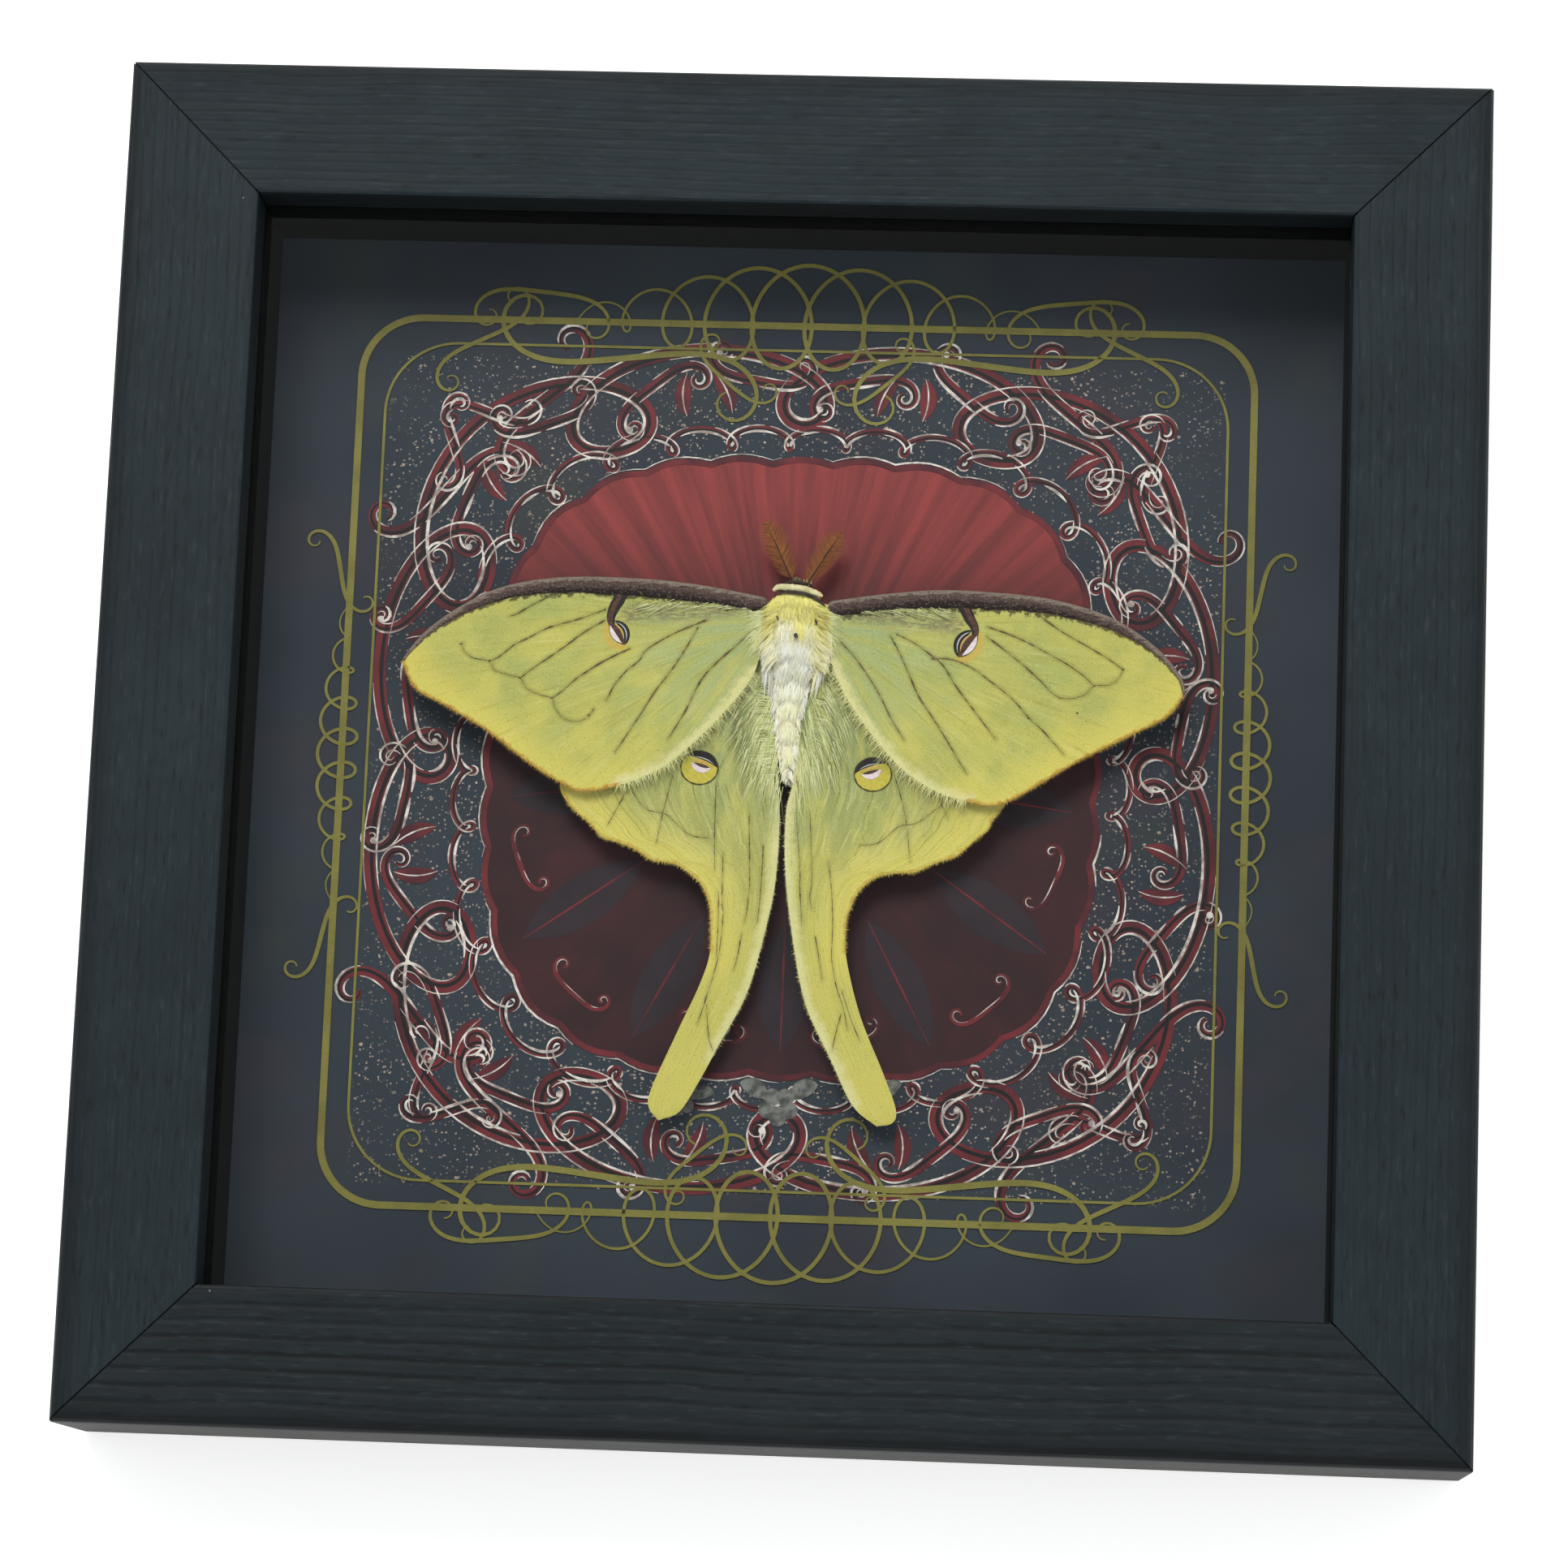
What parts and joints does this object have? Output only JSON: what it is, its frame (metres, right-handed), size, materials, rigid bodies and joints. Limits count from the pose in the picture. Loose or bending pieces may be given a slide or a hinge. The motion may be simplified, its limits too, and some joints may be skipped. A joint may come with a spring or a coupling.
{
  "type": "framed moth specimen",
  "caption": "Spread moon moth with long hindwing tails, mounted over a dark printed card behind glass in a square black box frame.",
  "frame": {"origin": "middle of the back rim, on the surface that the frame lies on", "axes": "+Z out through the glass, +Y towards the frame's top rail and the moth's head, +X to the right as seen from the front"},
  "size_m": [0.1778, 0.1778, 0.0254],
  "materials": {
    "black_paint": "satin black paint on pine",
    "clear_glass": "clear",
    "black_lining": "matt black",
    "printed_paper": "printed, satin",
    "grey_board": "raw board",
    "steel": "plated",
    "moth_fur": "soft fur of pale yellow and cream",
    "wing_scales": "matt scales, yellow-green",
    "antenna_brown": "dull brown",
    "leg_brown": "dull brown"
  },
  "bodies": {
    "root": {"antenna_left": "antenna_brown", "antenna_right": "antenna_brown", "back_board": "grey_board", "forewing_left": "wing_scales", "forewing_right": "wing_scales", "glass": "clear_glass", "glazing_point_1": "steel", "glazing_point_2": "steel", "glazing_point_3": "steel", "glazing_point_4": "steel", "glazing_point_5": "steel", "glazing_point_6": "steel", "glazing_point_7": "steel", "glazing_point_8": "steel", "hanger": "steel", "hanger_nail_left": "steel", "hanger_nail_right": "steel", "hindwing_left": "wing_scales", "hindwing_right": "wing_scales", "leg_front_left": "leg_brown", "leg_front_right": "leg_brown", "leg_hind_left": "leg_brown", "leg_hind_right": "leg_brown", "leg_middle_left": "leg_brown", "leg_middle_right": "leg_brown", "moth_body": "moth_fur", "mounting_pin": "steel", "printed_card": "printed_paper", "rail_bottom": "black_paint", "rail_left": "black_paint", "rail_right": "black_paint", "rail_top": "black_paint", "spacer_bottom": "black_lining", "spacer_left": "black_lining", "spacer_right": "black_lining", "spacer_top": "black_lining"}
  },
  "joints": []
}
